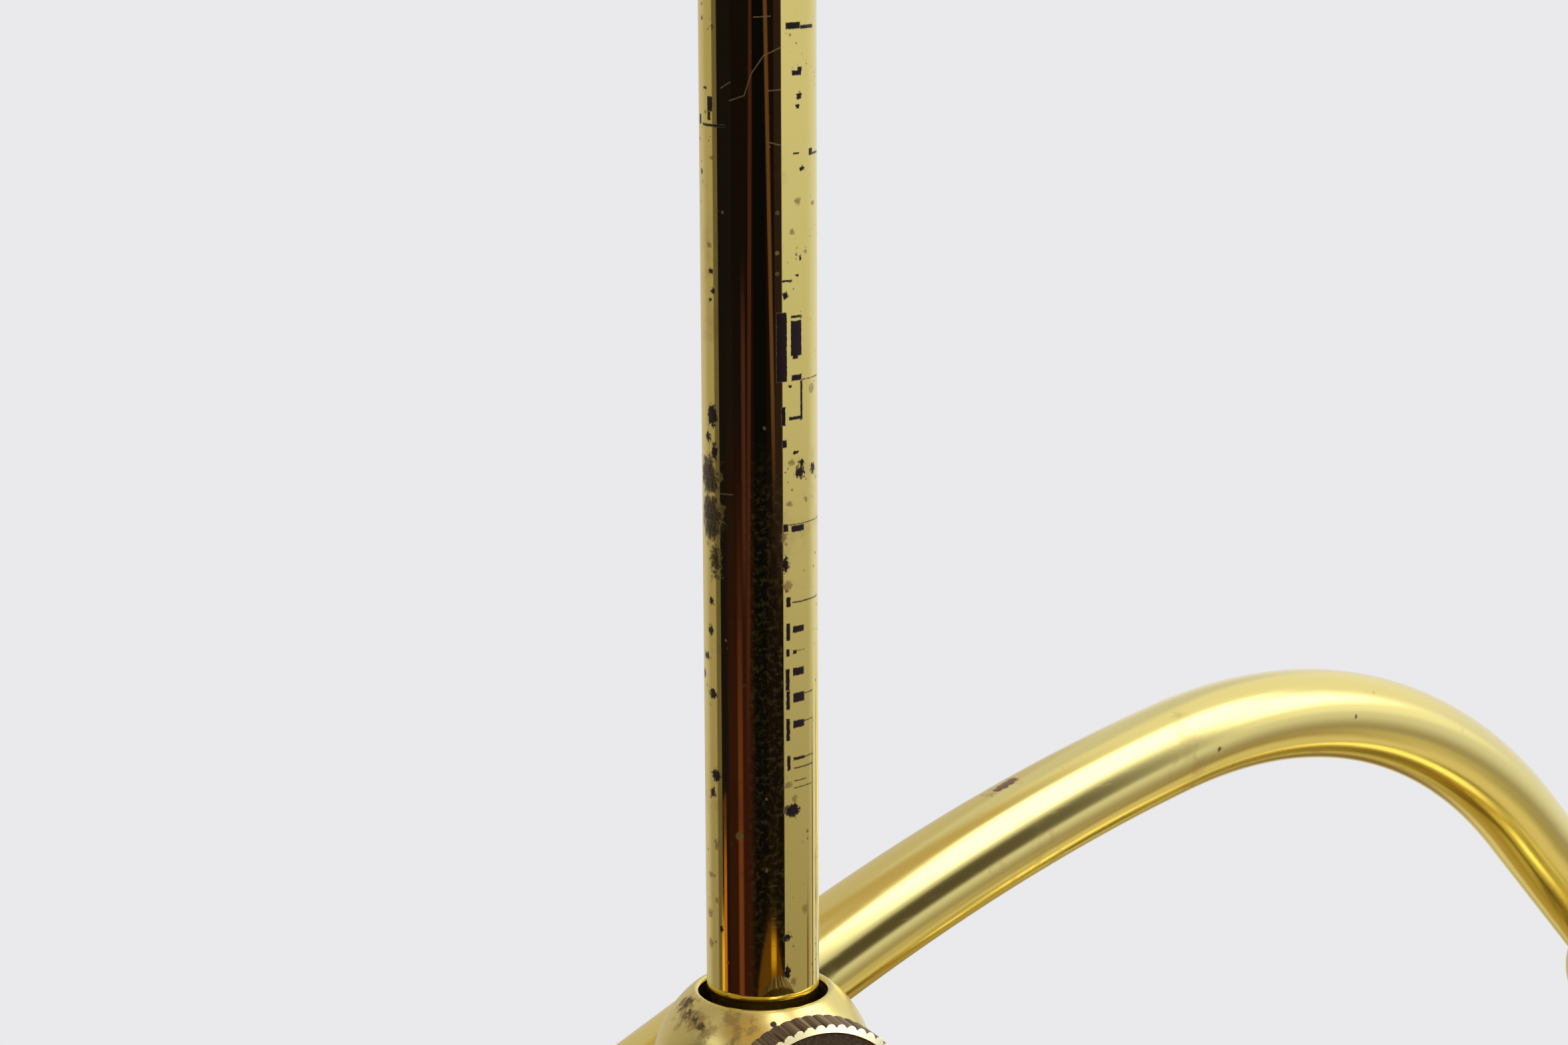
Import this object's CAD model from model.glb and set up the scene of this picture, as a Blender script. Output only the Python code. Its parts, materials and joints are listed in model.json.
import json
from math import acos, asin, cos, pi, radians, sin, sqrt

import bmesh
import bpy
from mathutils import Matrix, Vector


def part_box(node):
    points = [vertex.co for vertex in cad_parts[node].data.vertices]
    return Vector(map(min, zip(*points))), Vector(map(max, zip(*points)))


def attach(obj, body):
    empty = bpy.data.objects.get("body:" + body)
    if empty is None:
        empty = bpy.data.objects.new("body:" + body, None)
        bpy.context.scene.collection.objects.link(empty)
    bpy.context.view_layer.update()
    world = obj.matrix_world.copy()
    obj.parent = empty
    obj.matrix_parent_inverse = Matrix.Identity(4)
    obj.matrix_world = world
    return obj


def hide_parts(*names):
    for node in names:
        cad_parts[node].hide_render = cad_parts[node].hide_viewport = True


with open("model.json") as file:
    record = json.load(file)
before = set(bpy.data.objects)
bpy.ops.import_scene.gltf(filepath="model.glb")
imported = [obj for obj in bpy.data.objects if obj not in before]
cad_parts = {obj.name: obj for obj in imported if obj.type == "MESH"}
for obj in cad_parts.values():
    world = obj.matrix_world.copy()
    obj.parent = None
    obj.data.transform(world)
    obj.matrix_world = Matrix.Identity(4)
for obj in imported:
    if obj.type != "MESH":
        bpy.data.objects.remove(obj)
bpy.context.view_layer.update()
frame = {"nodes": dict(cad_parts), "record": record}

millimetre = 0.001
up = Vector((0, 0, 1))


def level(degrees):
    """A level direction, by its angle from +X."""
    return Vector((cos(radians(degrees)), sin(radians(degrees)), 0))


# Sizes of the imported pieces, in metres
post_low, post_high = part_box("post_tube")
post_radius = (post_high.x - post_low.x) / 2
post_wall = 1.25 * millimetre
ball_radius = 13.0 * millimetre
ball_foot = 9.0 * millimetre
ball_centre = 0.350 * up + 0.85 * millimetre * level(-135)
mouth_radius = 7.4 * millimetre
mouth_round = 0.5 * millimetre
chamber_radius = 8.0 * millimetre
chamber_top = 0.35407
screw_axis = level(-110)
screw_point = 0.3484 * up
screw_seat = ball_centre.dot(screw_axis) + 10.5 * millimetre
screw_radius = 3.0 * millimetre
screw_hole_radius = 3.05 * millimetre
screw_tip = 8.6 * millimetre
pin_hole_radius = 1.27 * millimetre
pin_hole_depth = 1.67 * millimetre
hub_radius = 5.5 * millimetre
hub_back = screw_seat + 0.3 * millimetre
hub_height = 0.1 * millimetre
knob_rim = 3.9 * millimetre  # thicker than its solid, by 0.7 mm at the back and 0.3 mm at the front
knob_back = hub_back + hub_height
knob_front = knob_back + knob_rim
knob_radius = 11.85 * millimetre
knob_land = 0.9 * millimetre
knob_dish = 0.35 * millimetre
knob_middle = 0.3 * millimetre
knurl_count = 54
arm_radius = 6.5 * millimetre
arm_wall = 1.25 * millimetre
arm_start = Vector((0, 0.021, 0.3412))
arm_slope = radians(17.05)
tail_reach = 0.048
rise_reach = 0.025
arm_bends = ((0.400, radians(11.27)), (0.1147, radians(48.76)))
arm_end_run = 0.036
weld_distance = 2e-6
shade_low, shade_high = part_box("shade_shell")
shade_axis = Vector(((shade_low.x + shade_high.x) / 2, (shade_low.y + shade_high.y) / 2, 0))

# Sides and steps of the round pieces
post_sides = 240
ball_sides = 200
ball_steps = 80
lip_steps = 10
drill_sides = 96
arm_sides = 160
bend_steps = 40
floor_sides = 128

# Camera, for a frame of 2353 by 1568 pixels
frame_width = 2353
focal_pixels = 5250.0
sensor_width = 36.0
camera_spot = Vector((-0.27079, -0.27425, 0.4971))
camera_heading = radians(45.033)
camera_pitch = radians(12.04)
camera_roll = radians(0.257)

# The lamp's front is the side that faces the camera
front = level(-135)
right = level(-45)


class Wire:
    """A node's output that takes part in Python arithmetic: each operator adds one Math node."""

    def __init__(self, board, socket):
        self.board = board
        self.socket = socket

    def maths(self, operation, *values):
        return self.board.node("ShaderNodeMath", {"operation": operation}, dict(enumerate(values)))

    def __add__(self, other):
        return self.maths("ADD", self, other)

    def __sub__(self, other):
        return self.maths("SUBTRACT", self, other)

    def __rsub__(self, other):
        return self.maths("SUBTRACT", other, self)

    def __mul__(self, other):
        return self.maths("MULTIPLY", self, other)

    def __truediv__(self, other):
        return self.maths("DIVIDE", self, other)

    def __or__(self, other):
        return self.maths("MAXIMUM", self, other)

    def __and__(self, other):
        return self.maths("MINIMUM", self, other)

    __radd__ = __add__
    __rmul__ = __mul__


class Board:
    """A node tree under construction. node() is the one way to add a node to it."""

    def __init__(self, tree):
        self.tree = tree
        tree.nodes.clear()

    def node(self, kind, settings=None, sockets=None, output=0):
        made = self.tree.nodes.new(kind)
        for name, value in (settings or {}).items():
            setattr(made, name, value)
        for name, value in (sockets or {}).items():
            if isinstance(value, Wire):
                self.tree.links.new(value.socket, made.inputs[name])
            else:
                made.inputs[name].default_value = value
        return Wire(self, made.outputs[output]) if made.outputs else made

    def place(self):
        """Object coordinates, in metres."""
        return self.node("ShaderNodeTexCoord", output="Object")

    def split(self, vector):
        parts = self.node("ShaderNodeSeparateXYZ", sockets={0: vector}).socket.node
        return [Wire(self, socket) for socket in parts.outputs]

    def join(self, x, y, z):
        return self.node("ShaderNodeCombineXYZ", sockets={0: x, 1: y, 2: z})

    def vector(self, operation, a, b, output=0):
        return self.node("ShaderNodeVectorMath", {"operation": operation}, {0: a, 1: b}, output)

    def turned(self, centre, axis):
        """How far a point lies along an axis through a centre, and how far out from it."""
        from_centre = self.vector("SUBTRACT", self.place(), tuple(centre))
        along = self.vector("DOT_PRODUCT", from_centre, tuple(axis), "Value")
        out = self.node(
            "ShaderNodeVectorMath",
            {"operation": "LENGTH"},
            {0: self.vector("CROSS_PRODUCT", from_centre, tuple(axis))},
            "Value",
        )
        return along, out

    def rise(self, value, low, high):
        """0 below low, 1 above high, with a soft step between them."""
        return self.node(
            "ShaderNodeMapRange",
            {"interpolation_type": "SMOOTHSTEP"},
            {"Value": value, "From Min": low, "From Max": high},
        )

    def between(self, value, low, high, soft):
        """1 from low to high, with soft edges."""
        return self.rise(value, low - soft, low + soft) - self.rise(value, high - soft, high + soft)

    def noise(self, vector, scale, detail=3.0, roughness=0.55):
        return self.node(
            "ShaderNodeTexNoise",
            sockets={"Vector": vector, "Scale": scale, "Detail": detail, "Roughness": roughness},
        )

    def stretched(self, vector, x, y, z):
        return self.vector("MULTIPLY", vector, (x, y, z))

    def specks(self, vector, scale, size, share):
        """Round spots of uneven size, on a share of the cells of a Voronoi pattern."""
        cells = self.node("ShaderNodeTexVoronoi", sockets={"Vector": vector, "Scale": scale}).socket.node
        distance = Wire(self, cells.outputs["Distance"])
        chance, spread, _ = self.split(Wire(self, cells.outputs["Color"]))
        reach = spread * size
        return self.rise(reach - distance, 0.0, 0.06) * self.rise(chance, 1 - share, 1.02 - share)

    def mix(self, factor, a, b):
        return self.node("ShaderNodeMix", {"data_type": "RGBA"}, {0: factor, 6: a, 7: b}, 2)

    def bump(self, height, strength, distance):
        return self.node(
            "ShaderNodeBump", sockets={"Height": height, "Strength": strength, "Distance": distance}
        )

    def surface(self, **sockets):
        named = {name.replace("_", " "): value for name, value in sockets.items()}
        return self.node("ShaderNodeBsdfPrincipled", sockets=named)


def finish(name):
    """A new material and the board that its nodes go on."""
    material = bpy.data.materials.new(name)
    material.use_nodes = True
    return material, Board(material.node_tree)


def rgb(red, green, blue):
    return (red, green, blue, 1.0)


brass_bright = rgb(0.83, 0.71, 0.27)
brass_aged = rgb(0.76, 0.64, 0.215)
brass_dull = rgb(0.76, 0.645, 0.25)
brass_film = rgb(0.60, 0.46, 0.18)
brass_brown = rgb(0.17, 0.10, 0.05)
stain_dark = rgb(0.019, 0.008, 0.015)
stain_brown = rgb(0.30, 0.17, 0.06)
stain_fleck = rgb(0.12, 0.055, 0.03)
stain_rust = rgb(0.17, 0.07, 0.035)
blot_dark = rgb(0.06, 0.027, 0.018)
patina_dark = rgb(0.016, 0.007, 0.009)
patina_brown = rgb(0.065, 0.028, 0.022)
scratch_pale = rgb(0.30, 0.20, 0.12)

# Grain of the fine hairlines, per metre along each axis
around_post = (160.0, 160.0, 2600.0)
along_arm = (90.0, 2600.0, 2600.0)


def worn(board, colour, roughness, film_share, speck_share, grain=around_post):
    """Brass colour and roughness under a cloudy film, with dark specks and fine hairlines along a grain."""
    place = board.place()
    cloud = board.noise(place, 95.0, 5.0, 0.6)
    fine = board.noise(place, 900.0, 3.0, 0.6)
    filmed = board.rise(cloud + 0.18 * (fine - 0.5), 0.62 - film_share, 0.74 - film_share)
    spots = board.specks(place, 520.0, 0.4, speck_share) | board.specks(place, 1400.0, 0.4, speck_share)
    colour = board.mix(filmed * 0.55, colour, brass_film)
    colour = board.mix(spots * 0.8, colour, stain_dark)
    hairlines = board.rise(board.noise(board.stretched(place, *grain), 1.0, 2.0), 0.62, 0.72)
    rough = roughness + 0.06 * filmed + 0.3 * spots + 0.04 * hairlines
    return colour, rough, 1.0 - 0.8 * spots


def aged_brass(name, tone, roughness, film_share, speck_share):
    material, board = finish(name)
    colour, rough, metal = worn(board, tone, roughness, film_share, speck_share)
    ripple = board.bump(board.noise(board.place(), 60.0, 2.0, 0.5), 0.05, 0.0006)
    shader = board.surface(Base_Color=colour, Metallic=metal, Roughness=rough, Normal=ripple)
    board.node("ShaderNodeOutputMaterial", sockets={"Surface": shader})
    return material


def smudge(board, marks, ragged, soft):
    """Blots that break up towards their edges; each mark is a point and a radius in millimetres."""
    place = board.place()
    least = None
    for point, radius in marks:
        centre = tuple(millimetre * Vector(point))
        reach = board.vector("DISTANCE", place, centre, "Value") / (radius * millimetre)
        least = reach if least is None else least & reach
    mottle = board.noise(place, 420.0, 8.0, 0.78) - 0.5
    return board.rise(1 - least + ragged * mottle, 0.0, soft)


def marked_brass(
    name, tone, roughness, film_share, speck_share, grain, darks, browns, dots, dot_tone, rubbed=None
):
    """Aged brass with dark, brown and crisp blots of its own, and an edge rubbed bright if it has one."""
    material, board = finish(name)
    colour, rough, metal = worn(board, tone, roughness, film_share, speck_share, grain)
    brown = smudge(board, browns, 6.0, 0.9)
    dark = smudge(board, darks, 5.0, 0.7)
    colour = board.mix(brown * 0.6, colour, stain_brown)
    colour = board.mix(dark * 0.85, colour, blot_dark)
    rough = rough + 0.2 * dark + 0.1 * brown
    crisp = smudge(board, dots, 0.9, 0.3)
    colour = board.mix(crisp, colour, dot_tone)
    if rubbed:
        bright = rubbed(board)
        colour = board.mix(bright, colour, brass_bright)
        rough = rough * (1 - 0.6 * bright)
    shader = board.surface(
        Base_Color=colour,
        Metallic=metal * (1 - 0.6 * (dark | crisp)) * (1 - 0.3 * brown),
        Roughness=rough,
        Normal=board.bump(board.noise(board.place(), 60.0, 2.0, 0.5), 0.05, 0.0006),
    )
    board.node("ShaderNodeOutputMaterial", sockets={"Surface": shader})
    return material


def ball_lip(board):
    """1 on the rounded lip of the ball's mouth."""
    along, out = board.turned(ball_centre, up)
    raised = board.rise(along, 9.5 * millimetre, 9.7 * millimetre)
    beyond = board.rise(out, mouth_radius + mouth_round, mouth_radius + 1.3 * mouth_round)
    return raised * (1 - beyond)


# Blots on the ball and the arm: a point and a radius in millimetres
ball_darks = (
    ((-8.8, 4.1, 358.9), 1.5),
    ((-8.5, 3.2, 359.5), 0.9),
    ((-9.7, 2.2, 358.8), 1.0),
    ((-10.4, 0.6, 358.4), 0.6),
    ((-10.9, -0.9, 358.0), 0.6),
)
ball_dots = (((-6.3, -8.0, 359.0), 0.42),)
ball_browns = (
    ((-9.2, 3.4, 358.8), 2.4),
    ((-10.4, 0.6, 358.4), 1.7),
    ((-11.0, -2.0, 357.7), 1.5),
    ((-9.0, -4.2, 359.3), 1.5),
    ((-9.2, -5.7, 358.3), 1.9),
    ((5.0, -9.0, 354.0), 1.5),
    ((3.0, 11.5, 354.0), 1.6),
)
arm_darks = (((135.9, 14.5, 362.9), 0.35), ((103.8, 14.5, 364.6), 0.3))
arm_dots = (
    ((65.2, 21.5, 365.3), 0.8),
    ((66.3, 21.6, 365.6), 1.05),
    ((67.5, 21.7, 365.8), 1.05),
    ((68.6, 21.9, 366.0), 0.8),
)
arm_browns = (
    ((64.5, 21.8, 365.3), 1.6),
    ((68.6, 21.9, 365.9), 1.4),
    ((103.8, 14.5, 364.6), 0.5),
    ((142.3, 16.0, 365.0), 0.5),
)

# Stains on the post: angle from its front in degrees, height, half width and half height in millimetres
worn_bars = (
    (36.9, 470.8, 0.97, 0.36),
    (56.1, 470.6, 1.20, 0.20),
    (40.9, 465.7, 0.67, 0.26),
    (44.8, 466.1, 0.31, 0.23),
    (39.7, 457.0, 0.42, 0.10),
    (61.9, 457.0, 0.40, 0.38),
    (73.7, 456.8, 0.89, 0.13),
    (28.6, 443.1, 0.62, 0.11),
    (-53.5, 462.3, 0.46, 0.82),
    (-54.9, 461.0, 0.28, 0.48),
    (-50.7, 460.0, 1.91, 0.14),
    (-75.1, 460.5, 0.40, 0.54),
    (38.3, 439.1, 0.59, 0.13),
    (22.7, 435.8, 0.62, 3.85),
    (39.3, 436.7, 0.76, 1.95),
    (38.0, 434.9, 0.37, 0.50),
    (39.7, 432.3, 0.72, 0.33),
    (62.1, 432.0, 1.83, 0.06),
    (45.6, 429.7, 0.17, 2.19),
    (38.3, 427.8, 0.92, 0.19),
    (24.1, 428.1, 0.25, 1.05),
    (25.2, 425.0, 0.27, 0.42),
    (26.2, 415.5, 0.30, 0.43),
    (40.6, 415.3, 0.90, 0.36),
    (53.6, 415.8, 3.00, 0.05),
    (54.4, 406.9, 2.42, 0.08),
    (28.7, 407.0, 0.27, 0.57),
    (28.3, 403.6, 0.24, 0.99),
    (40.9, 403.8, 0.81, 0.38),
    (27.9, 401.2, 0.21, 0.42),
    (35.9, 401.2, 0.26, 0.22),
    (43.5, 401.3, 0.60, 0.05),
    (27.5, 398.1, 0.24, 1.25),
    (40.7, 398.9, 0.81, 0.45),
    (27.9, 395.7, 0.23, 1.08),
    (41.1, 395.9, 0.82, 0.56),
    (56.0, 396.2, 0.86, 0.06),
    (27.8, 392.3, 0.23, 1.29),
    (41.0, 392.8, 0.82, 0.42),
    (55.3, 393.0, 0.80, 0.06),
    (28.5, 388.4, 0.20, 0.85),
    (41.5, 388.8, 0.86, 0.18),
    (56.2, 388.8, 0.80, 0.07),
    (48.9, 387.7, 1.61, 0.08),
    (43.0, 386.2, 0.94, 0.06),
    (47.3, 385.4, 1.43, 0.06),
)
dark_spots = (
    (43.8, 463.2, 0.40, 0.39),
    (41.7, 462.1, 0.32, 0.24),
    (47.7, 455.3, 0.40, 0.24),
    (44.7, 445.5, 0.21, 0.28),
    (41.1, 443.6, 0.19, 0.14),
    (26.7, 441.5, 0.37, 0.44),
    (-61.6, 464.0, 0.39, 0.18),
    (-53.6, 444.0, 0.50, 0.28),
    (-50.8, 441.8, 0.43, 0.33),
    (-55.4, 440.8, 0.29, 0.20),
    (31.8, 431.4, 0.26, 0.17),
    (38.3, 423.9, 0.36, 0.22),
    (45.5, 422.6, 0.53, 0.40),
    (43.7, 421.6, 0.72, 0.55),
    (64.9, 421.7, 0.55, 0.63),
    (25.4, 411.3, 0.49, 0.81),
    (-53.7, 427.9, 0.90, 1.25),
    (-61.3, 425.4, 0.50, 0.60),
    (-50.3, 423.9, 0.55, 0.88),
    (-57.7, 406.7, 0.46, 0.46),
    (-59.5, 403.3, 0.55, 0.60),
    (-69.0, 400.1, 0.80, 0.42),
    (-56.6, 396.0, 0.80, 0.55),
    (-52.1, 386.5, 0.85, 0.70),
    (-58.2, 384.4, 0.54, 0.49),
    (-45.8, 368.5, 0.28, 0.43),
    (33.2, 382.8, 0.92, 0.77),
    (25.9, 367.9, 0.46, 0.49),
    (26.0, 363.7, 0.37, 0.78),
)
brown_spots = (
    (41.6, 451.8, 0.45, 0.39),
    (66.5, 451.3, 0.40, 0.30),
    (34.9, 448.5, 0.29, 0.33),
    (-51.0, 456.5, 0.39, 0.27),
    (-56.8, 446.9, 0.46, 0.37),
    (33.1, 422.8, 0.44, 0.37),
    (30.1, 418.2, 0.45, 0.30),
    (51.4, 418.4, 0.32, 0.30),
    (24.3, 414.5, 0.35, 0.60),
    (28.0, 408.9, 0.59, 0.58),
    (-52.9, 378.4, 0.40, 0.63),
    (-63.5, 374.5, 0.58, 0.35),
    (-52.7, 371.7, 0.28, 0.35),
    (-67.3, 369.8, 0.64, 0.50),
    (-65.1, 366.2, 0.62, 0.50),
    (27.8, 385.9, 0.52, 0.37),
    (35.0, 384.1, 0.37, 0.41),
    (48.6, 370.8, 0.50, 0.56),
    (33.2, 362.4, 0.43, 0.52),
)
clouds = ((-62.0, 421.0, 2.2, 2.4), (-58.0, 416.2, 2.2, 2.8), (-51.0, 411.5, 1.1, 2.0))

# Scratches on the post: the angle and height of each end
scratches = (
    ((-27.9, 462.8), (-12.7, 463.4)),
    ((-12.7, 463.4), (-5.6, 465.8)),
    ((-5.6, 465.8), (6.1, 467.7)),
    ((6.1, 467.7), (22.4, 468.5)),
    ((-38.0, 464.1), (-27.3, 464.8)),
    ((-3.1, 471.8), (12.7, 471.9)),
    ((10.1, 463.9), (22.2, 464.0)),
    ((8.8, 458.4), (21.9, 458.0)),
    ((-45.3, 419.2), (-27.6, 419.3)),
)


def unrolled(angle, height):
    """A place on the post's surface laid flat, in millimetres."""
    return Vector((radians(angle) * post_radius / millimetre, height, 0.0))


def scratched(board, flat):
    """Distance from a point on the unrolled post to the nearest scratch, in millimetres."""
    least = None
    for start, end in scratches:
        run = unrolled(*end) - unrolled(*start)
        from_start = board.vector("SUBTRACT", flat, tuple(unrolled(*start)))
        along = board.vector("DOT_PRODUCT", from_start, tuple(run / run.length_squared), "Value")
        along = (along | 0.0) & 1.0
        foot = board.vector("MULTIPLY", board.join(along, along, along), tuple(run))
        distance = board.vector("DISTANCE", from_start, foot, "Value")
        least = distance if least is None else least & distance
    return least


def nearest(board, flat, marks, form):
    """Least distance from a point on the unrolled post to any of the marks, in millimetres."""
    least = None
    for angle, height, half_width, half_height in marks:
        offset = board.vector("SUBTRACT", flat, tuple(unrolled(angle, height)))
        distance = form(board, offset, half_width, half_height)
        least = distance if least is None else least & distance
    return least


def bar(board, offset, half_width, half_height):
    """Distance outside a rectangle, negative within it."""
    x, y, _ = board.split(board.vector("ABSOLUTE", offset, (0, 0, 0)))
    return (x - half_width) | (y - half_height)


def spot(board, offset, half_width, half_height):
    """Distance outside an oval, roughly, negative within it."""
    scaled = board.vector("DIVIDE", offset, (half_width, half_height, 1.0))
    reach = board.vector("LENGTH", scaled, (0, 0, 0), "Value")
    return (reach - 1.0) * max(min(half_width, half_height), 0.5)


def stained_brass(name):
    """The post's finish: polished, with the bars, spots and clouds that its lost lacquer left."""
    material, board = finish(name)
    colour, rough, metal = worn(board, brass_aged, roughness=0.035, film_share=0.02, speck_share=0.03)
    place = board.place()
    _, _, height = board.split(place)
    aside = board.vector("DOT_PRODUCT", place, tuple(right), "Value")
    ahead = board.vector("DOT_PRODUCT", place, tuple(front), "Value")
    angle = board.node("ShaderNodeMath", {"operation": "ARCTAN2"}, {0: aside, 1: ahead})
    flat = board.join(angle * (post_radius / millimetre), height / millimetre, 0.0)
    ragged = board.noise(flat, 2.6, 4.0, 0.65) - 0.5
    fray = board.noise(flat, 9.0, 2.0, 0.6) - 0.5
    bars = nearest(board, flat, worn_bars, bar) + 0.32 * fray + 0.25 * ragged
    darks = nearest(board, flat, dark_spots, spot) + 1.7 * ragged + 0.7 * fray
    browns = nearest(board, flat, brown_spots, spot) + 1.5 * ragged + 0.6 * fray
    patina = nearest(board, flat, clouds, spot) + 6.0 * (board.noise(flat, 0.8, 8.0, 0.78) - 0.5)
    dark = (1 - board.rise(bars, -0.04, 0.04)) | (1 - board.rise(darks, -0.08, 0.05))
    mottle = board.rise(board.noise(flat, 3.0, 6.0, 0.75), 0.40, 0.56)
    cloud = (1 - board.rise(patina, -0.8, 0.3)) * (0.82 + 0.18 * mottle)
    brown = 1 - board.rise(browns, -0.2, 0.12)
    off_scratch = scratched(board, flat) + 0.12 * fray
    scratch = (1 - board.rise(off_scratch, 0.02, 0.09)) * (0.3 + 1.2 * (ragged + 0.5))
    front_strip = board.between(angle, radians(-12), radians(27), radians(5))
    middle = front_strip * (1 - board.rise(height, 0.416, 0.428))
    haze = middle * board.rise(board.noise(flat, 1.5, 6.0, 0.75), 0.48, 0.66)
    colour = board.mix(scratch | (haze * 0.2), colour, scratch_pale)
    colour = board.mix(brown * 0.7, colour, stain_brown)
    patina_tone = board.mix(board.rise(ragged, -0.15, 0.2), patina_dark, patina_brown)
    colour = board.mix(cloud, colour, patina_tone)
    colour = board.mix(dark, colour, stain_dark)
    sides = 1 - board.between(angle, radians(-46), radians(24), radians(1))
    grouped = board.rise(board.noise(flat, 0.16, 2.0, 0.5), 0.5, 0.62)
    flecks = (board.specks(flat, 1.3, 0.38, 0.3) | board.specks(flat, 2.7, 0.36, 0.25)) * sides * grouped
    colour = board.mix(flecks * 0.75, colour, stain_fleck)
    stain = dark | cloud | (flecks * 0.6)
    unstained = (1 - 0.95 * stain) * (1 - 0.4 * brown)
    unmarked = (1 - 0.8 * (scratch & 1.0)) * (1 - 0.1 * haze)
    shader = board.surface(
        Base_Color=colour,
        Metallic=metal * unstained * unmarked,
        Roughness=rough + 0.35 * stain + 0.12 * brown,
        Specular_IOR_Level=0.15,
        Normal=board.bump(board.noise(place, 45.0, 2.0, 0.5), 0.04, 0.0005),
    )
    board.node("ShaderNodeOutputMaterial", sockets={"Surface": shader})
    return material


def knob_finish(name):
    """Brown tarnished thumb-screw: bright land and tooth tips, turned rings on the dark dished face."""
    material, board = finish(name)
    along, out = board.turned(screw_point, screw_axis)
    place = board.place()
    rings = board.noise(board.join(out / millimetre, 0.0, 0.0), 7.0, 4.0, 0.75)
    on_axis = board.vector("MULTIPLY", tuple(screw_axis), board.join(along, along, along))
    across = board.vector("SUBTRACT", place, on_axis)
    streaks = board.noise(across, 2600.0, 3.0, 0.7)
    at_front = board.rise(along, knob_front - 0.3 * millimetre, knob_front - 0.2 * millimetre)
    land_edge = knob_radius - knob_land
    land = at_front * board.rise(out, land_edge - 0.06 * millimetre, land_edge + 0.02 * millimetre)
    face = at_front * (1 - land)
    grime = 1 - board.rise(out, knob_radius - 0.36 * millimetre, knob_radius - 0.12 * millimetre)
    colour = board.mix(board.rise(streaks, 0.34, 0.66), rgb(0.105, 0.063, 0.037), rgb(0.37, 0.268, 0.175))
    colour = board.mix(grime * 0.7, colour, rgb(0.05, 0.03, 0.02))
    turned_face = board.mix(board.rise(rings, 0.35, 0.7), rgb(0.055, 0.0185, 0.006), rgb(0.16, 0.066, 0.018))
    colour = board.mix(face, colour, turned_face)
    colour = board.mix(land, colour, board.mix(streaks * 0.2, rgb(0.96, 0.89, 0.60), brass_bright))
    shader = board.surface(
        Base_Color=colour,
        Metallic=0.45 + 0.55 * at_front,
        Roughness=0.5 - 0.34 * land - 0.12 * face + 0.15 * (streaks - 0.5),
        Normal=board.bump(face * rings + 0.5 * (1 - at_front) * streaks, 0.2, 0.0001),
    )
    board.node("ShaderNodeOutputMaterial", sockets={"Surface": shader})
    return material


def spun(board, centre, tone, roughness, film_share, speck_share):
    """Brass turned about an upright axis: colour, roughness, metal, fine rings and the distance out."""
    colour, rough, metal = worn(board, tone, roughness, film_share, speck_share)
    along, out = board.turned(centre, up)
    rings = board.noise(board.join(out / millimetre, along / millimetre, 0.0), 2.2, 5.0, 0.7)
    rough = rough + 0.12 * board.rise(rings, 0.45, 0.75)
    return colour, rough, metal, rings, out


def foot_finish(name):
    """Spun foot, darker where hands don't reach: round the collar and along the rim."""
    material, board = finish(name)
    colour, rough, metal, rings, out = spun(
        board, (0, 0, 0), brass_aged, roughness=0.10, film_share=0.02, speck_share=0.05
    )
    uneven = 4 * millimetre * (board.noise(board.place(), 70.0, 5.0, 0.65) - 0.5)
    by_collar = 1 - board.rise(out + uneven, 13 * millimetre, 19 * millimetre)
    by_rim = board.rise(out + uneven, 91.5 * millimetre, 94.5 * millimetre)
    corner = by_collar | by_rim
    shader = board.surface(
        Base_Color=board.mix(corner * 0.7, colour, brass_brown),
        Metallic=metal,
        Roughness=rough + 0.2 * corner,
        Normal=board.bump(rings, 0.05, 0.0002),
    )
    board.node("ShaderNodeOutputMaterial", sockets={"Surface": shader})
    return material


def shade_finish(name):
    """Spun brass outside and white enamel inside, told apart by which way the wall faces."""
    material, board = finish(name)
    colour, rough, metal, rings, _ = spun(
        board, shade_axis, brass_aged, roughness=0.10, film_share=0.03, speck_share=0.05
    )
    low_point = shade_axis + (shade_low.z - 20 * millimetre) * up
    outward = board.vector("SUBTRACT", board.place(), tuple(low_point))
    normal = board.node("ShaderNodeTexCoord", output="Normal")
    facing = board.vector("DOT_PRODUCT", outward, normal, "Value")
    outside = board.rise(facing, -0.5 * millimetre, 0.5 * millimetre)
    _, _, height = board.split(board.place())
    scorched = board.rise(height, shade_high.z - 35 * millimetre, shade_high.z) * 0.6
    dust = board.rise(board.noise(board.place(), 120.0, 5.0, 0.65), 0.5, 0.8) * 0.3
    enamel = board.mix(scorched | dust, rgb(0.86, 0.85, 0.80), rgb(0.66, 0.58, 0.42))
    shader = board.surface(
        Base_Color=board.mix(outside, enamel, colour),
        Metallic=metal * outside,
        Roughness=0.3 + (rough - 0.3) * outside,
        Normal=board.bump(rings, 0.04, 0.0002),
    )
    board.node("ShaderNodeOutputMaterial", sockets={"Surface": shader})
    return material


def matter(name, dark, light, grain, stretch, roughness, metallic, relief, **constants):
    """A grained stuff between two colours: grain per metre, its stretch and the depth of its relief."""
    material, board = finish(name)
    place = board.stretched(board.place(), *stretch)
    fine = board.noise(place, grain, 6.0, 0.7)
    broad = board.noise(place, grain / 9, 3.0, 0.6)
    shader = board.surface(
        Base_Color=board.mix(board.rise(0.6 * fine + 0.4 * broad, 0.36, 0.64), dark, light),
        Metallic=metallic,
        Roughness=roughness + 0.2 * (broad - 0.5),
        Normal=board.bump(fine, 0.6, relief),
        **constants,
    )
    board.node("ShaderNodeOutputMaterial", sockets={"Surface": shader})
    return material


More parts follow.
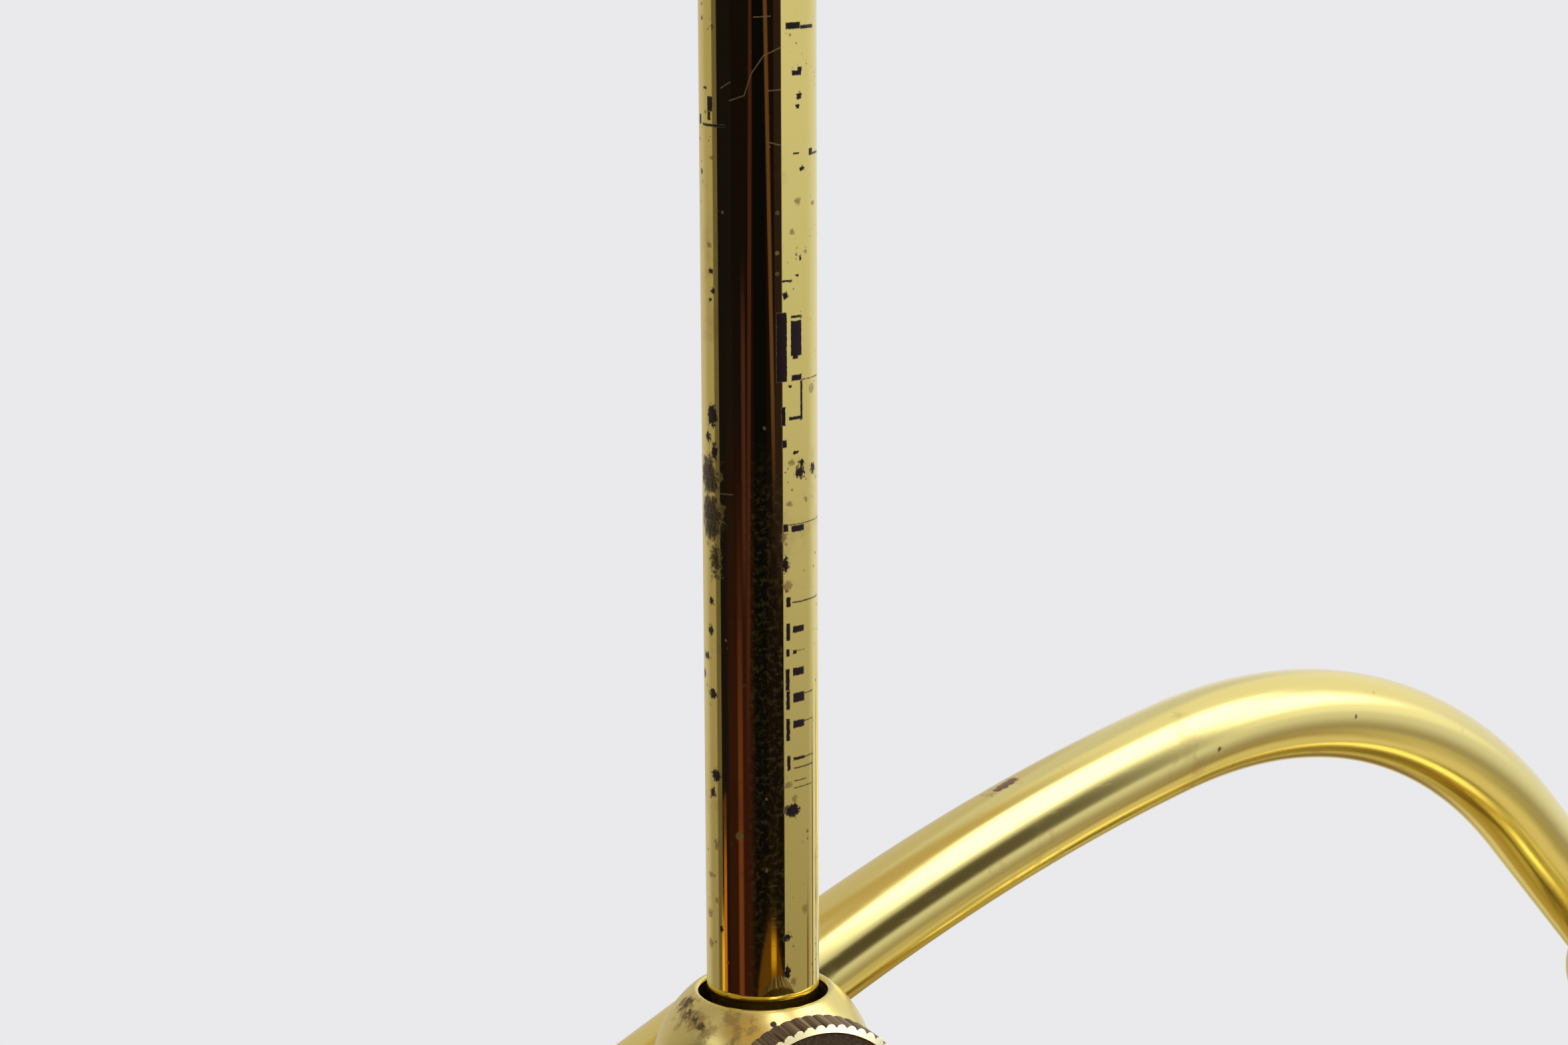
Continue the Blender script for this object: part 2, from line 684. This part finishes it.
even = (1, 1, 1)
ringed = (1, 1, 8)
finishes = {
    "post_brass": stained_brass("post_brass"),
    "foot_brass": foot_finish("foot_brass"),
    "ball_brass": marked_brass(
        "ball_brass",
        tone=brass_dull,
        roughness=0.27,
        film_share=0.10,
        speck_share=0.0,
        grain=around_post,
        darks=ball_darks,
        browns=ball_browns,
        dots=ball_dots,
        dot_tone=stain_dark,
        rubbed=ball_lip,
    ),
    "knob_brass": knob_finish("knob_brass"),
    "arm_brass": marked_brass(
        "arm_brass",
        tone=brass_bright,
        roughness=0.17,
        film_share=0.02,
        speck_share=0.0,
        grain=along_arm,
        darks=arm_darks,
        browns=arm_browns,
        dots=arm_dots,
        dot_tone=stain_rust,
    ),
    "fitting_brass": aged_brass(
        "fitting_brass", tone=brass_aged, roughness=0.16, film_share=0.08, speck_share=0.05
    ),
    "shade_brass": shade_finish("shade_brass"),
    "plated_steel": matter(
        "plated_steel",
        dark=rgb(0.40, 0.39, 0.37),
        light=rgb(0.66, 0.66, 0.65),
        grain=700,
        stretch=ringed,
        roughness=0.3,
        metallic=1.0,
        relief=0.00002,
    ),
    "iron": matter(
        "iron",
        dark=rgb(0.035, 0.032, 0.03),
        light=rgb(0.10, 0.075, 0.06),
        grain=700,
        stretch=even,
        roughness=0.7,
        metallic=0.6,
        relief=0.0004,
    ),
    "felt": matter(
        "felt",
        dark=rgb(0.012, 0.05, 0.022),
        light=rgb(0.045, 0.14, 0.07),
        grain=2200,
        stretch=even,
        roughness=0.95,
        metallic=0.0,
        relief=0.0004,
        Sheen_Weight=0.4,
    ),
    "fibre": matter(
        "fibre",
        dark=rgb(0.10, 0.035, 0.018),
        light=rgb(0.24, 0.10, 0.05),
        grain=500,
        stretch=ringed,
        roughness=0.6,
        metallic=0.0,
        relief=0.00005,
    ),
    "moulding": matter(
        "moulding",
        dark=rgb(0.012, 0.008, 0.006),
        light=rgb(0.05, 0.03, 0.022),
        grain=260,
        stretch=even,
        roughness=0.3,
        metallic=0.0,
        relief=0.00001,
        Coat_Weight=0.3,
    ),
    "bulb_metal": matter(
        "bulb_metal",
        dark=rgb(0.55, 0.55, 0.56),
        light=rgb(0.78, 0.78, 0.79),
        grain=600,
        stretch=ringed,
        roughness=0.32,
        metallic=1.0,
        relief=0.00002,
    ),
    "bulb_glass": matter(
        "bulb_glass",
        dark=rgb(0.80, 0.79, 0.75),
        light=rgb(0.92, 0.92, 0.89),
        grain=60,
        stretch=even,
        roughness=0.35,
        metallic=0.0,
        relief=0.00001,
        Coat_Weight=0.2,
    ),
}

body_of = {node: body for body, nodes in frame["record"]["behaviour"]["bodies"].items() for node in nodes}
slot_of = {part["node"]: part["material_slot"] for part in frame["record"]["subparts"]}


def show(mesh, name, node, crease=32):
    """Puts a finished mesh in place of a node, on that node's body and in its finish."""
    piece = bpy.data.objects.new(name, mesh)
    bpy.context.scene.collection.objects.link(piece)
    mesh.materials.clear()
    mesh.materials.append(finishes[slot_of[node]])
    mesh.shade_smooth()
    mesh.set_sharp_from_angle(angle=radians(crease))
    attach(piece, body_of[node])
    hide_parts(node)


def merged(node):
    """A copy of a node's mesh with its loose triangles joined."""
    shape = bmesh.new()
    shape.from_mesh(frame["nodes"][node].data)
    bmesh.ops.remove_doubles(shape, verts=shape.verts, dist=weld_distance)
    mesh = bpy.data.meshes.new(node + "_faired")
    shape.to_mesh(mesh)
    shape.free()
    if "custom_normal" in mesh.attributes:
        mesh.attributes.remove(mesh.attributes["custom_normal"])
    return mesh


def turn(rings, axis, side, segments, closed=True):
    """Skin over rings of (centre, radius), each round the same axis; either may vary with the angle."""
    shape = bmesh.new()
    over = axis.cross(side)
    loops = []
    for centre, radius in rings:
        loop = []
        for step in range(segments):
            angle = 2 * pi * step / segments
            middle = centre(angle) if callable(centre) else centre
            reach = radius(angle) if callable(radius) else radius
            loop.append(shape.verts.new(middle + reach * (cos(angle) * side + sin(angle) * over)))
        loops.append(loop)
    for lower, upper in zip(loops, loops[1:] + (loops[:1] if closed else [])):
        for step in range(segments):
            after = (step + 1) % segments
            shape.faces.new((lower[step], lower[after], upper[after], upper[step]))
    if not closed:
        shape.faces.new(loops[0])
        shape.faces.new(loops[-1])
    bmesh.ops.recalc_face_normals(shape, faces=shape.faces)
    return shape


def into_mesh(shape, name):
    mesh = bpy.data.meshes.new(name)
    shape.to_mesh(mesh)
    shape.free()
    return mesh


def seeded(mesh, name):
    """A working object that holds a mesh until its modifiers are applied."""
    seed = bpy.data.objects.new(name, mesh)
    bpy.context.scene.collection.objects.link(seed)
    return seed


def applied(seed):
    """The plain mesh that a working object's modifiers make; the object itself goes."""
    depsgraph = bpy.context.evaluated_depsgraph_get()
    result = bpy.data.meshes.new_from_object(seed.evaluated_get(depsgraph))
    seed.modifiers.clear()
    bpy.data.objects.remove(seed)
    return result


def drilled(mesh, start, end, radius):
    """A mesh with a round hole cut along the line between two points."""
    axis = (end - start).normalized()
    bit_shape = turn(((start, radius), (end, radius)), axis, up, drill_sides, closed=False)
    bit = seeded(into_mesh(bit_shape, "drill"), "drill")
    seed = seeded(mesh, "seed")
    hole = seed.modifiers.new("hole", "BOOLEAN")
    hole.operation = "DIFFERENCE"
    hole.solver = "EXACT"
    hole.object = bit
    result = applied(seed)
    bpy.data.objects.remove(bit)
    return result


def on_screw(place):
    """A point on the thumb-screw's axis, by its distance from the post's axis."""
    return screw_point + place * screw_axis


# Post: a long tube, round enough to mirror the room
post_rings = (
    (post_low.z * up, post_radius),
    (post_high.z * up, post_radius),
    (post_high.z * up, post_radius - post_wall),
    (post_low.z * up, post_radius - post_wall),
)
show(into_mesh(turn(post_rings, up, right, post_sides), "post"), "post", "post_tube")

# Ball: outside of the sphere from its flat foot to the rounded mouth, then the bore and the chamber;
# a flat and a hole for the thumb-screw are cut last
mouth_angle = acos((mouth_radius + mouth_round) / (ball_radius - mouth_round))
foot_angle = -asin(ball_foot / ball_radius)
ball_rings = []
for step in range(ball_steps + 1):
    angle = foot_angle + (mouth_angle - foot_angle) * step / ball_steps
    ball_rings.append((ball_centre + ball_radius * sin(angle) * up, ball_radius * cos(angle)))
lip_height = (ball_radius - mouth_round) * sin(mouth_angle)
for step in range(1, lip_steps + 1):
    angle = mouth_angle + (pi - mouth_angle) * step / lip_steps
    ball_rings.append(
        (
            ball_centre + (lip_height + mouth_round * sin(angle)) * up,
            mouth_radius + mouth_round + mouth_round * cos(angle),
        )
    )
ball_rings.append((Vector((ball_centre.x, ball_centre.y, chamber_top)), mouth_radius))
ball_rings.append((chamber_top * up, chamber_radius))
ball_rings.append(((ball_centre.z - ball_foot) * up, chamber_radius))
ball_shape = turn(ball_rings, up, right, ball_sides)
cut = bmesh.ops.bisect_plane(
    ball_shape,
    geom=ball_shape.verts[:] + ball_shape.edges[:] + ball_shape.faces[:],
    plane_co=screw_seat * screw_axis,
    plane_no=screw_axis,
    clear_outer=True,
)
rim = [e for e in cut["geom_cut"] if isinstance(e, bmesh.types.BMEdge)]
bmesh.ops.contextual_create(ball_shape, geom=rim)
hole_start = on_screw(post_radius)
hole_end = on_screw(screw_seat + 2 * millimetre)
ball_mesh = drilled(into_mesh(ball_shape, "ball"), hole_start, hole_end, screw_hole_radius)
show(ball_mesh, "ball", "slider_ball")

# Thumb-screw: a shank bored for the pad's pin, a hub, and a disc with round-backed teeth that run out to the
# back, a coned land and a dished face
tooth_radius = 0.74 * millimetre
tooth_circle = knob_radius - tooth_radius
tooth_run_out = 0.35
tooth_segments = 10
bevel = 0.05 * millimetre
land_edge = knob_radius - knob_land
land_slope = 0.23


def toothed(inset, depth):
    """The teeth's outline, a radius that varies with the angle, less an inset; depth 1 is a full tooth."""
    pitch = 2 * pi / knurl_count

    def reach(angle):
        off = (angle + pitch / 2) % pitch - pitch / 2
        full = tooth_circle * cos(off) + sqrt(tooth_radius**2 - (tooth_circle * sin(off)) ** 2)
        return knob_radius - depth * (knob_radius - full) - inset

    return reach


def land_ring(inset, below):
    """A ring round the teeth on the land's cone, or a little below it."""
    outline = toothed(inset, 1.0)

    def centre(angle):
        return on_screw(knob_front - below - land_slope * (outline(angle) - land_edge))

    return centre, outline


knob_rings = (
    (on_screw(screw_tip + pin_hole_depth), pin_hole_radius),
    (on_screw(screw_tip), pin_hole_radius),
    (on_screw(screw_tip), screw_radius),
    (on_screw(hub_back), screw_radius),
    (on_screw(hub_back), hub_radius),
    (on_screw(knob_back), hub_radius),
    (on_screw(knob_back), toothed(2 * bevel, tooth_run_out)),
    (on_screw(knob_back + 2 * bevel), toothed(0, tooth_run_out)),
    land_ring(0, bevel),
    land_ring(bevel, 0),
    (on_screw(knob_front), land_edge),
    (on_screw(knob_front - knob_dish), land_edge - knob_dish),
    (on_screw(knob_front - knob_dish), hub_radius),
    (on_screw(knob_front - knob_dish), knob_middle),
)
knob_shape = turn(knob_rings, screw_axis, up, tooth_segments * knurl_count, closed=False)
show(into_mesh(knob_shape, "thumb_screw"), "thumb_screw", "clamp_screw", crease=20)


# Arm: a round tube along a line of straight runs and bends, swept by Geometry Nodes
def arm_line():
    """Points along the arm's middle, from its tail to the knuckle."""
    heading = arm_slope
    along = Vector((cos(heading), 0, sin(heading)))
    points = [arm_start - tail_reach * along, arm_start + rise_reach * along]
    for radius, angle in arm_bends:
        centre = points[-1] + radius * Vector((sin(heading), 0, -cos(heading)))
        for step in range(1, bend_steps + 1):
            turned = heading - angle * step / bend_steps
            points.append(centre + radius * Vector((-sin(turned), 0, cos(turned))))
        heading -= angle
    points.append(points[-1] + arm_end_run * Vector((cos(heading), 0, sin(heading))))
    return points


def tube_tree():
    """Geometry Nodes that sweep a round tube along the edges of a mesh."""
    tree = bpy.data.node_groups.new("bent_tube", "GeometryNodeTree")
    tree.interface.new_socket("Path", in_out="INPUT", socket_type="NodeSocketGeometry")
    tree.interface.new_socket("Tube Radius", in_out="INPUT", socket_type="NodeSocketFloat")
    tree.interface.new_socket("Sides", in_out="INPUT", socket_type="NodeSocketInt")
    tree.interface.new_socket("Finish", in_out="INPUT", socket_type="NodeSocketMaterial")
    tree.interface.new_socket("Tube", in_out="OUTPUT", socket_type="NodeSocketGeometry")
    board = Board(tree)
    given = board.node("NodeGroupInput").socket.node
    ask = {socket.name: Wire(board, socket) for socket in given.outputs if socket.name}
    line = board.node("GeometryNodeMeshToCurve", sockets={"Mesh": ask["Path"]})
    circle = board.node(
        "GeometryNodeCurvePrimitiveCircle",
        {"mode": "RADIUS"},
        {"Resolution": ask["Sides"], "Radius": ask["Tube Radius"]},
    )
    skin = board.node("GeometryNodeCurveToMesh", sockets={"Curve": line, "Profile Curve": circle})
    whole = board.node("GeometryNodeRealizeInstances", sockets={"Geometry": skin})
    dressed = board.node("GeometryNodeSetMaterial", sockets={"Geometry": whole, "Material": ask["Finish"]})
    board.node("NodeGroupOutput", sockets={"Tube": dressed})
    return tree


def grown(mesh, tree, values, wall):
    """The plain mesh that a Geometry Nodes tree makes of a mesh, with a wall's thickness to its inside."""
    seed = seeded(mesh, "seed")
    nodes = seed.modifiers.new("grow", "NODES")
    nodes.node_group = tree
    for item in tree.interface.items_tree:
        if item.in_out == "INPUT" and item.name in values:
            nodes[item.identifier] = values[item.name]
    thick = seed.modifiers.new("wall", "SOLIDIFY")
    thick.thickness = wall
    thick.offset = -1.0
    thick.use_even_offset = True
    return applied(seed)


arm_path = bpy.data.meshes.new("arm_path")
arm_points = arm_line()
arm_path.from_pydata(arm_points, [(i, i + 1) for i in range(len(arm_points) - 1)], [])
arm_inputs = {"Tube Radius": arm_radius, "Sides": arm_sides, "Finish": finishes["arm_brass"]}
arm_mesh = grown(arm_path, tube_tree(), arm_inputs, arm_wall)
show(arm_mesh, "arm", "arm_tube")

# Every other piece that shows is a faired copy of its node; what lies inside keeps its node's mesh and
# gets its finish
rebuilt = {"post_tube", "slider_ball", "clamp_screw", "arm_tube"}
inside = {
    "base_weight",
    "post_nipple",
    "post_lock_washer",
    "post_nut",
    "ball_plug",
    "stem_nut",
    "lampholder_shell",
    "lampholder_contact",
    "bulb_cap",
    "clamp_pad",
    "joint_nut",
}
for node, cad in frame["nodes"].items():
    if node in inside:
        cad.data.materials.clear()
        cad.data.materials.append(finishes[slot_of[node]])
    elif node not in rebuilt:
        show(merged(node), node + "_faired", node)

# Floor: a pale round table top that fades out towards its edge and is warmer in the brass
floor_radius = 0.8
floor_mesh = bpy.data.meshes.new("table_top")
floor_shape = bmesh.new()
bmesh.ops.create_circle(floor_shape, cap_ends=True, radius=floor_radius, segments=floor_sides)
floor_shape.to_mesh(floor_mesh)
floor_shape.free()
floor = bpy.data.objects.new("table_top", floor_mesh)
bpy.context.scene.collection.objects.link(floor)
pale, board = finish("pale_top")
_, out = board.turned((0, 0, 0), up)
fade = board.rise(out, 0.5 * floor_radius, floor_radius)
mirrored = board.node("ShaderNodeLightPath", output="Is Glossy Ray")
along_x, along_y, _ = board.split(board.place())
shaded = board.rise(along_x, 0.40, 0.50) * board.rise(along_y, -0.06, 0.06)
warm_top = board.mix(shaded, rgb(0.98, 0.90, 0.58), rgb(0.26, 0.15, 0.04))
top = board.surface(Base_Color=board.mix(mirrored, rgb(0.86, 0.91, 0.97), warm_top), Roughness=0.7)
clear = board.node("ShaderNodeBsdfTransparent")
board.node(
    "ShaderNodeOutputMaterial",
    sockets={"Surface": board.node("ShaderNodeMixShader", sockets={0: fade, 1: top, 2: clear})},
)
floor_mesh.materials.append(pale)

# Room: pale walls that dim towards the ground, with the dark side that the lamp's front looks at
world = bpy.data.worlds.new("studio")
bpy.context.scene.world = world
world.use_nodes = True
board = Board(world.node_tree)
ray = board.node("ShaderNodeTexCoord", output="Generated")
ahead = board.vector("DOT_PRODUCT", ray, tuple(front), "Value")
aside = board.vector("DOT_PRODUCT", ray, tuple(right), "Value")
_, _, lift = board.split(ray)
degrees_per_radian = 180 / pi
bearing = degrees_per_radian * board.node("ShaderNodeMath", {"operation": "ARCTAN2"}, {0: aside, 1: ahead})
slope = degrees_per_radian * board.node("ShaderNodeMath", {"operation": "ARCSINE"}, {0: lift})


def within(low, high, soft, bottom, top, soft_slope):
    """1 inside a window of bearings and slopes, in degrees."""
    return board.between(bearing, low, high, soft) * board.between(slope, bottom, top, soft_slope)


def lit(colour, mask, red, green, blue):
    """A colour of light laid over another where a mask is 1."""
    return board.mix(mask, colour, rgb(red, green, blue))


daylight = board.rise(slope, -21, -3)
right_wall = board.mix(daylight, rgb(0.42, 0.38, 0.31), rgb(0.80, 0.80, 0.80))
left_wall = board.mix(daylight, rgb(0.40, 0.35, 0.28), rgb(0.50, 0.45, 0.36))
walls = board.mix(board.rise(bearing, -20, 20), left_wall, right_wall)
walls = lit(walls, board.rise(bearing, 108, 138), 0.86, 0.86, 0.88)
walls = lit(walls, 1 - board.rise(bearing, -142, -118), 0.64, 0.58, 0.48)
walls = lit(walls, 1 - board.rise(bearing, -181, -177), 0.86, 0.86, 0.88)
walls = lit(walls, 1 - board.rise(slope, -30, -22), 0.76, 0.69, 0.42)
walls = lit(walls, within(60, 97, 4, -39, -21, 4), 0.40, 0.34, 0.19)  # seen in the arm
walls = lit(walls, within(130, 178, 8, -60, -31, 4), 0.20, 0.12, 0.03)  # seen in the arm
walls = lit(walls, board.rise(slope, 4, 22) * board.rise(bearing, -95, -80), 0.72, 0.72, 0.72)
walls = lit(walls, within(124, 164, 6, 8, 58, 4), 0.96, 0.94, 0.84)  # seen in the arm
walls = lit(walls, board.rise(slope, 52, 62), 0.56, 0.43, 0.22)
walls = lit(walls, board.rise(slope, 70, 76), 0.75, 0.74, 0.70)
walls = lit(walls, within(122, 127, 1, -40, -15.5, 1.5), 0.26, 0.16, 0.06)
walls = lit(walls, within(103, 109, 2, -40, -18.3, 0.7), 0.24, 0.14, 0.06)
walls = lit(walls, within(-101, -87, 2.5, -40, 12, 3), 0.17, 0.14, 0.10)
walls = lit(walls, within(55, 91, 2.5, -0.5, 26, 3), 0.06, 0.045, 0.025)
walls = lit(walls, within(93, 124, 3, 0, 31, 3), 1.1, 1.1, 1.05)
walls = lit(walls, within(96, 117, 3, 12, 36, 4), 2.4, 2.4, 2.6)
walls = lit(walls, within(46, 66, 2, -2.2, 14, 1), 2.0, 2.0, 1.9)  # light on the thumb-screw's land
walls = lit(walls, within(-75, -38, 10, 40, 80, 5), 0.40, 0.28, 0.13)
walls = lit(walls, within(-38, 28, 10, 40, 80, 5), 0.62, 0.42, 0.16)
walls = lit(walls, within(79, 124, 5, 33.5, 62, 4), 2.6, 2.6, 2.8)  # main light
walls = lit(walls, within(23, 60, 5, 62, 75, 3), 5.0, 5.0, 5.2)  # light overhead

# The dark side: dim streaks, and an amber flame low down
shadow = board.mix(board.rise(bearing, -57, -53), rgb(0.010, 0.009, 0.014), rgb(0.009, 0.006, 0.008))
low_glow = board.between(bearing, -70, -18, 6) * (1 - board.rise(slope, -17, -8))
shadow = lit(shadow, low_glow, 0.038, 0.012, 0.010)
red_line = board.between(bearing, -48, -38, 2.5)
shadow = lit(shadow, red_line * (1 - board.rise(slope, -18, -11)), 0.19, 0.055, 0.035)
shadow = lit(shadow, within(-36, -28, 2, -13, -8.5, 1), 0.075, 0.027, 0.03)
leaning_left = bearing - 1.1 * slope
left_streak = board.between(leaning_left, -13, -6, 1.2) * board.rise(slope, -17, -14)
shadow = lit(shadow, left_streak, 0.072, 0.021, 0.018)
shadow = lit(shadow, board.between(bearing, -11, 14, 1), 0.004, 0.004, 0.006)
leaning_right = bearing + 1.75 * slope
right_streak = board.between(leaning_right, 5, 12, 1.5) * board.rise(slope, -12.5, -9.5)
shadow = lit(shadow, right_streak, 0.15, 0.068, 0.042)
shadow = lit(shadow, within(31, 48, 1, -13, 30, 1.5), 0.028, 0.017, 0.022)
from_flame = bearing - 18
flame = -18.55 - slope - from_flame * from_flame / 700
shadow = lit(shadow, board.rise(flame, -0.04, 0.12), 0.13, 0.055, 0.007)
shadow = lit(shadow, within(18, 28, 2.5, -19.3, -18.8, 0.12), 0.85, 0.45, 0.015)
dark = board.between(bearing, -88, 46.5, 1.2) * (1 - board.rise(slope, 32, 40))
room = board.mix(dark, walls, shadow)
room = lit(room, within(-84, -77, 1.5, -40, -17.3, 0.9), 0.60, 0.19, 0.03)  # gold line on the post
room = lit(room, within(-91, -84, 1.5, -40, -18.6, 0.6), 1.0, 0.60, 0.08)  # gold line on the post
room = lit(room, within(33, 47, 1.5, -2.0, 12, 1), 0.9, 0.85, 0.72)  # light on the thumb-screw's land
room = lit(room, within(-80, -52, 4, 29, 39, 2.5), 1.6, 1.6, 1.5)
seen = board.node("ShaderNodeLightPath", output="Is Camera Ray")
colour = board.mix(seen, room, rgb(0.82, 0.82, 0.84))
light = board.node("ShaderNodeBackground", sockets={"Color": colour, "Strength": 1.0})
board.node("ShaderNodeOutputWorld", sockets={"Surface": light})

# Camera
view_level = Vector((sin(camera_heading), cos(camera_heading), 0))
view_right = Vector((cos(camera_heading), -sin(camera_heading), 0))
forward = cos(camera_pitch) * view_level - sin(camera_pitch) * up
upward = view_right.cross(forward)
rolled_right = cos(camera_roll) * view_right - sin(camera_roll) * upward
rolled_up = sin(camera_roll) * view_right + cos(camera_roll) * upward
camera_data = bpy.data.cameras.new("camera")
camera_data.sensor_fit = "HORIZONTAL"
camera_data.sensor_width = sensor_width
camera_data.lens = focal_pixels * sensor_width / frame_width
camera_data.clip_start = 0.01
camera = bpy.data.objects.new("camera", camera_data)
bpy.context.scene.collection.objects.link(camera)
turned_frame = Matrix((rolled_right, rolled_up, -forward)).transposed().to_4x4()
camera.matrix_world = Matrix.Translation(camera_spot) @ turned_frame
bpy.context.scene.camera = camera
bpy.context.scene.view_settings.view_transform = "Standard"
